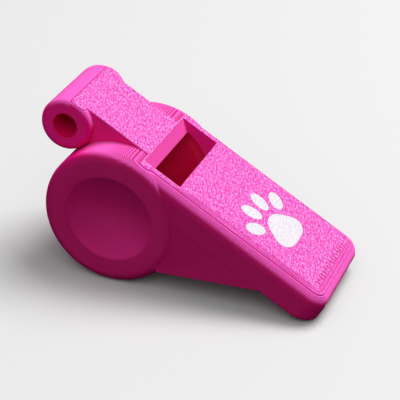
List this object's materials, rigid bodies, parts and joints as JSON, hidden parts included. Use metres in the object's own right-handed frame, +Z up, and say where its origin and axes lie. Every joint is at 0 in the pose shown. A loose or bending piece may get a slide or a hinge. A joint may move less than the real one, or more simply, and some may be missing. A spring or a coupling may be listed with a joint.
{
  "type": "training whistle",
  "caption": "Printed pea whistle for training a dog: round drum with finger dishes, flat tapering mouthpiece with window and windway, lanyard barrel, inlaid paw print.",
  "frame": {"origin": "middle of the footprint, on the surface that the whistle rests on", "axes": "+X towards the mouth, +Y along the axis of the drum to the left of someone who blows it, +Z up. The whistle rests on its drum and on the lower edge of its mouth, with its flat top face tipped forwards by 29.5 degrees"},
  "size_m": [0.0464, 0.0206, 0.0278],
  "materials": {
    "pink_plastic": "satin, with fine print layers and a grainy flat top face",
    "white_plastic": "grainy, as the face round it"
  },
  "bodies": {
    "whistle": {"whistle_body": "pink_plastic", "inlay_pad": "white_plastic", "inlay_toe_1": "white_plastic", "inlay_toe_2": "white_plastic", "inlay_toe_3": "white_plastic", "inlay_toe_4": "white_plastic"},
    "pea": {"pea": "pink_plastic"}
  },
  "joints": [
    {"name": "pea_roll", "type": "hinge", "parent": "whistle", "child": "pea", "pos_m": [-0.01075, 0, 0.011], "axis": [0, 1, 0], "continuous": true}
  ]
}
